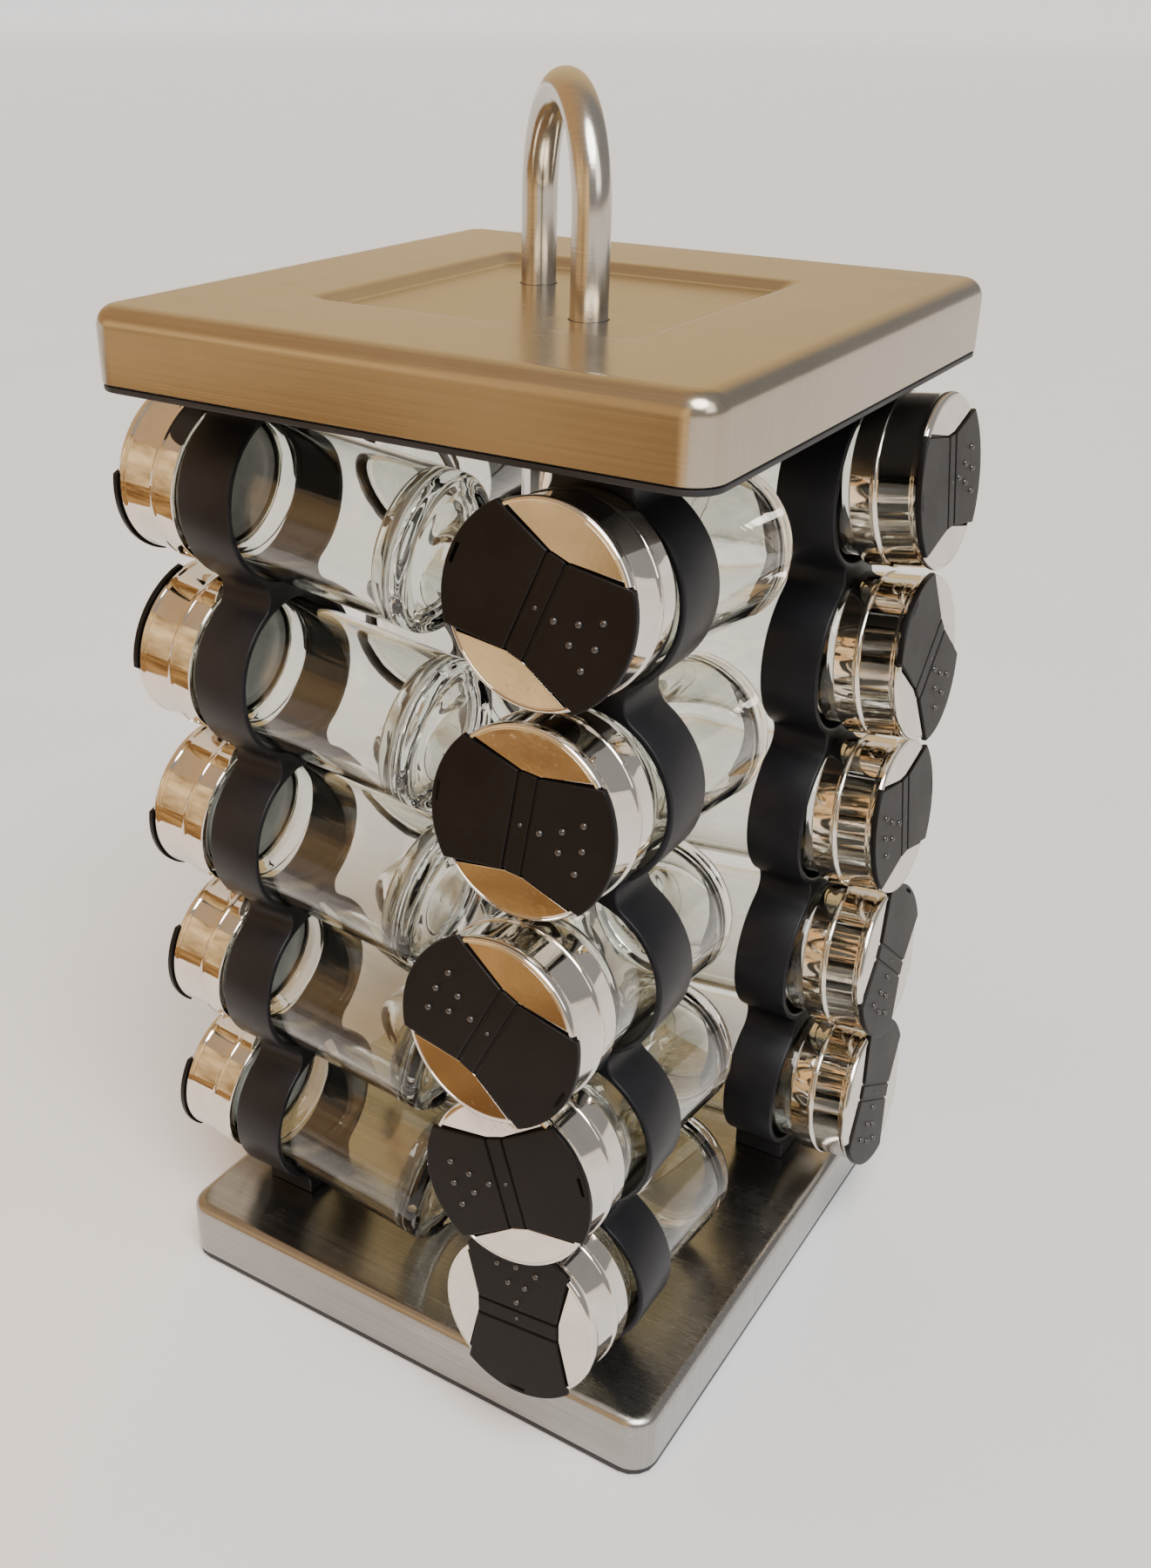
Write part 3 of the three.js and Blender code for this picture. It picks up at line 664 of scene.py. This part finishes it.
def add_flap(build, face, side, bumps, pegs=False):
    top = face + FLAP_PROUD
    outline = flap_outline(HINGE_STRIP / 2 + GROOVE / 2, FLAP_R - 0.03)
    if side < 0:
        outline = [(-x, -y) for x, y in outline]
    build.slab(outline, top - FLAP_THICK, top, 0.38, steps=4)
    if bumps:
        for x, y in SIFTER_HOLES:
            build.dome(x * side, y, BUMP_R, top - 0.02, BUMP_RISE, slot=1)
    if pegs:
        under = top - FLAP_THICK
        for x, y in SIFTER_HOLES:
            build.slab(circle(0.8, 12, x, y), under - 1.2, under, 0.1)
    if not bumps:
        # A fingernail ledge at the rim of the pour flap.
        ledge = [(22.2, -2.6), (23.2, -2.4), (23.2, 2.4), (22.2, 2.6)]
        build.slab([(side * x, y) for x, y in ledge][::side], top - 0.05, top, 0.02)


def add_strip(build, face):
    top = face + FLAP_PROUD
    build.slab(oblong(HINGE_STRIP / 2 - GROOVE / 2, WAIST / 2), top - FLAP_THICK, top - 0.03, 0.3)
    build.dome(0, 0, 0.55, top - 0.05, 0.3, slot=1)


def add_core(build, face):
    """The dark plastic body inside the sleeve."""
    back = face - CAP_LENGTH
    build.lathe([(20.35, back + 0.9), (21.5, back + 0.9), (21.5, face - 2.0), (22.0, face - 1.3)], 48)


def closed_insert(face):
    """The insert of a cap whose flaps stay shut."""
    build = Build()
    add_core(build, face)
    build.lathe([(22.0, face - 1.3), (22.0, face - 0.75), (0, face - 0.75)], 48)
    build.slab(oblong(HINGE_STRIP / 2 + GROOVE, WAIST / 2 - 0.4), face - 1, face + 0.15, 0.1)
    add_flap(build, face, 1, bumps=True)
    add_flap(build, face, -1, bumps=False)
    add_strip(build, face)
    return build.mesh("cap_insert", [FLAP, BUMP_PAINTED_HIGHLIGHT], 34)


def open_insert(face):
    """The insert of a cap whose flaps are pieces of their own."""
    build = Build()
    add_core(build, face)
    # Fills the grooves under the strip without reaching the flaps that lift.
    build.slab(oblong(HINGE_STRIP / 2 + 0.35, WAIST / 2 - 0.4), face - 1, face + 0.15, 0.1)
    add_strip(build, face)
    return build.mesh("cap_insert_open", [FLAP, BUMP_PAINTED_HIGHLIGHT], 34)


def pierced_disc():
    """The plate under the flaps, with the sifter holes and the pour opening."""
    holes = [circle(HOLE_R, 20, x, y) for x, y in SIFTER_HOLES]
    pour = []
    for i in range(17):
        a = math.pi - POUR_REACH + 2 * POUR_REACH * i / 16
        pour.append((POUR_R * math.cos(a), POUR_R * math.sin(a)))
    pour += [(-POUR_START, -POUR_HALF), (-POUR_START, POUR_HALF)]
    return flat_fill("pierced_disc", circle(DISC_R, 72), [*holes, pour], DISC_THICK, 0.12, FLAP)


# ---------------------------------------------------------------- build the tower
def put(piece, body, slot, *nodes):
    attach(piece, body)
    if nodes:
        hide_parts(*nodes)
    return piece


top_low, top_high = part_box("top_cover")
base_low, base_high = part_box("base_cover")
put(cover("top_cover_shell", top_low.z / MM, top_high.z / MM, TOP_EDGE_R, True),
    "tower", "stainless", "top_cover")
put(cover("base_cover_shell", base_low.z / MM, base_high.z / MM, BASE_EDGE_R, False),
    "tower", "stainless", "base_cover")
plate_low, plate_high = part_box("top_plate")
put(edge_plate("top_plate_edge", plate_low.z / MM, plate_low.z / MM + 1.5, plate_high.z / MM),
    "tower", "plate_plastic", "top_plate")
put(handle_piece(), "tower", "stainless", "handle")

rack_low, rack_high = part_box("rack_front")
wave_low, wave_high = base_high.z / MM + RACK_CLEAR, plate_low.z / MM - RACK_CLEAR
joints = {joint["name"]: joint for joint in frame["joints"]}
outward = Vector(joints["cap_turn_front_3"]["axis"]).normalized()
pulled = -joints["jar_pull_front_3"]["range_m"][0] / MM
cap_back = (RING_DEPTH / 2 + CAP_R * outward.z + CAP_BACK_CLEAR) / -outward.y
middle = joints["cap_turn_front_3"]["pos_m"][2] / MM - (cap_back + pulled) * outward.z
rings = [circle(RING_HOLE, 72, 0, middle + (row - (ROWS - 1) / 2) * PITCH) for row in range(ROWS)]
rack_mesh = flat_fill("rack", wave_outline(wave_low, wave_high, middle), rings, RING_DEPTH, RACK_EASE, RACK)
centre = (rack_low + rack_high) / 2
for quarter, column in enumerate(COLUMNS):
    stand = Matrix.Translation((centre.x, centre.y, 0)) @ Matrix.Rotation(math.pi / 2, 4, "X")
    matrix = Matrix.Rotation(quarter * math.pi / 2, 4, "Z") @ stand
    put(add_object(f"rack_{column}_rings", rack_mesh, matrix), "tower", "rack_plastic", f"rack_{column}")

# Along a jar, from the plane at the cap's back edge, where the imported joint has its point.
FACE = CAP_LENGTH
SHOULDER = -SHOULDER_DROP
MOUTH = CAP_LENGTH - MOUTH_DROP
END = CAP_LENGTH - JAR_LENGTH
shared = {
    "glass": glass_mesh(END, SHOULDER, MOUTH),
    "cup": insert_mesh(SHOULDER, MOUTH),
    "sleeve": sleeve(FACE),
    "closed": closed_insert(FACE),
    "open": open_insert(FACE),
    "disc": pierced_disc(),
}
sifter, pour = Build(), Build()
add_flap(sifter, FACE, 1, bumps=True, pegs=True)
add_flap(pour, FACE, -1, bumps=False)
shared["sifter"] = sifter.mesh("sifter_flap", [FLAP, BUMP_PAINTED_HIGHLIGHT], 34)
shared["pour"] = pour.mesh("pour_flap", [FLAP], 34)

for joint in frame["joints"]:
    if not joint["name"].startswith("cap_turn_"):
        continue
    label = joint["name"][len("cap_turn_"):]
    column, row = label.split("_")
    out = Vector(joint["axis"]).normalized()
    right = Vector((0, 0, 1)).cross(out).normalized()
    up = out.cross(right)
    seat = Matrix.Translation(joint["pos_m"]) @ Matrix((right, up, out)).transposed().to_4x4()
    turned = seat @ Matrix.Rotation(math.radians(TURNS[column][int(row) - 1]), 4, "Z")
    put(add_object(f"glass_{label}", shared["glass"], seat), f"jar_{label}", "jar_glass", f"jar_{label}")
    put(add_object(f"sifter_cup_{label}", shared["cup"], turned), f"jar_{label}", "flap_plastic")
    put(add_object(f"sleeve_{label}", shared["sleeve"], turned),
        f"cap_{label}", "cap_shell", f"cap_{label}")
    if label in OPENING:
        put(add_object(f"insert_{label}", shared["open"], turned), f"cap_{label}", "flap_plastic")
        lift = turned @ Matrix.Translation((0, 0, (FACE - DISC_DROP) * MM))
        put(add_object(f"sifter_plate_{label}", shared["disc"], lift), f"cap_{label}", "flap_plastic")
        for kind in ("sifter", "pour"):
            name = f"{kind}_flap_{label}"
            put(add_object(f"{name}_lid", shared[kind], turned), name, "flap_plastic", name)
    else:
        put(add_object(f"insert_{label}", shared["closed"], turned), f"cap_{label}", "flap_plastic")

# The CAD pieces that stay as they are get their own finishes.
KEPT = {
    "rubber_pad": RUBBER, "foot_disc": ZINC, "pivot_screw": ZINC, "ball_cage": ZINC,
    "base_plate": PLATE,
    "centre_post": POST, "post_nut": ZINC, "handle_clamp": ZINC,
}
for name, material in KEPT.items():
    piece = frame["nodes"][name]
    for place in piece.material_slots:
        place.material = material
piece = frame["nodes"]["centre_post"]
piece.data.shade_smooth()
piece.data.set_sharp_from_angle(angle=math.radians(40))

# ---------------------------------------------------------------- floor, light, camera
FLOOR_REACH = 12000
build = Build()
build.lathe([(0, 0), (2000, 0), (FLOOR_REACH, 0), (FLOOR_REACH + 700, 180), (FLOOR_REACH + 1000, 900)], 64)
floor = add_object("floor", build.mesh("floor", [], 60))
pale, tree, shader = new_material("pale_floor")
mottle = noise(tree, object_coords(tree), 9, 4, 0.5)
tree.links.new(two_tone(tree, mottle, (0.74, 0.745, 0.76), (0.79, 0.795, 0.81)),
               shader.inputs["Base Color"])
shader.inputs["Roughness"].default_value = 0.55
shader.inputs["Specular IOR Level"].default_value = 0.25
floor.data.materials.append(pale)

# Where the sky is warm, and where it is golden for the top cover to reflect.
WARM_SKY = (-0.95, -0.10, 0.30)
GOLDEN_SKY = (-0.48, 0.74, 0.47)
world = bpy.data.worlds.new("studio")
bpy.context.scene.world = world
world.use_nodes = True
tree = world.node_tree
back = tree.nodes["Background"]
coords = node(tree, "ShaderNodeTexCoord")
toward = node(tree, "ShaderNodeVectorMath", operation="DOT_PRODUCT")
toward.inputs[1].default_value = WARM_SKY
tree.links.new(coords.outputs["Generated"], toward.inputs[0])
warm_side = spread(tree, toward.outputs["Value"], 0.05, 0.95, 0, 1)
behind = node(tree, "ShaderNodeVectorMath", operation="DOT_PRODUCT")
behind.inputs[1].default_value = GOLDEN_SKY
tree.links.new(coords.outputs["Generated"], behind.inputs[0])
golden = node(tree, "ShaderNodeMix", data_type="RGBA")
golden.inputs[7].default_value = (1.10, 0.80, 0.42, 1)
tree.links.new(spread(tree, behind.outputs["Value"], 0.78, 0.97, 0, 1), golden.inputs[0])
tree.links.new(two_tone(tree, warm_side, (0.40, 0.39, 0.385), (0.85, 0.53, 0.26)), golden.inputs[6])
tree.links.new(golden.outputs[2], back.inputs["Color"])
back.inputs["Strength"].default_value = 0.9


def board(name, corners, dark, light, patches):
    """A glowing board that only the reflections show."""
    build = Build()
    build.points = corners
    build.face([0, 1, 2, 3])
    made = add_object(name, build.mesh(name, [], 60))
    glow, tree, shader = new_material(name)
    mottle = noise(tree, object_coords(tree), patches, 3, 0.5)
    tree.links.new(two_tone(tree, spread(tree, mottle, 0.35, 0.65, 0, 1), dark, light),
                   shader.inputs["Emission Color"])
    shader.inputs["Emission Strength"].default_value = 1
    shader.inputs["Base Color"].default_value = (0, 0, 0, 1)
    shader.inputs["Specular IOR Level"].default_value = 0
    made.data.materials.append(glow)
    made.visible_camera = made.visible_diffuse = made.visible_transmission = made.visible_shadow = False


board("brown_board", [(-50, -300, 2), (-50, -900, 2), (-1500, -900, 2), (-1500, -300, 2)],
      (0.24, 0.11, 0.035), (0.70, 0.38, 0.14), 7)
board("golden_board", [(250, -900, 2), (-1500, -900, 2), (-1500, -900, 900), (250, -900, 900)],
      (0.50, 0.30, 0.13), (1.6, 1.12, 0.60), 2.5)


def softbox(name, place, target, size, power, colour):
    data = bpy.data.lights.new(name, "AREA")
    data.shape = "RECTANGLE"
    data.size, data.size_y = size
    data.energy = power
    data.color = colour
    made = bpy.data.objects.new(name, data)
    bpy.context.scene.collection.objects.link(made)
    made.location = place
    made.rotation_euler = (Vector(target) - Vector(place)).to_track_quat("-Z", "Y").to_euler()
    made.visible_camera = False
    return made


warm_panel = softbox("warm_panel", (-0.21, -0.40, 0.26), (0, 0, 0.17), (0.62, 0.50), 1.0, (1.0, 0.47, 0.15))
warm_panel.visible_glossy = False
softbox("right_fill", (0.9, -0.3, 0.9), (0, 0, 0.15), (0.5, 0.7), 3.0, (1.0, 0.98, 0.95))
sun_data = bpy.data.lights.new("overhead", "SUN")
sun_data.energy = 4.1
sun_data.angle = math.radians(38)
sun_data.color = (1.0, 0.985, 0.965)
sun = bpy.data.objects.new("overhead", sun_data)
bpy.context.scene.collection.objects.link(sun)
sun.rotation_euler = Vector((-0.45, 0.45, -1)).to_track_quat("-Z", "Y").to_euler()

CAMERA_PLACE = (0.21283, -0.35730, 0.37263)
LENS = 35.86
camera_data = bpy.data.cameras.new("camera")
camera_data.lens = LENS
camera_data.sensor_width = 36
camera_data.shift_x = 0.0399
camera_data.shift_y = 0.0117
camera_data.clip_start = 0.01
camera_data.clip_end = 60
camera = bpy.data.objects.new("camera", camera_data)
bpy.context.scene.collection.objects.link(camera)
across = Vector((0.84242551, 0.53876443, 0.00722236))
upward = Vector((-0.25574692, 0.38802237, 0.8854559))
ahead = Vector((-0.4742497, 0.74777773, -0.46466729))
turned = Matrix((across, upward, -ahead)).transposed().to_4x4()
camera.matrix_world = Matrix.Translation(CAMERA_PLACE) @ turned
bpy.context.scene.camera = camera
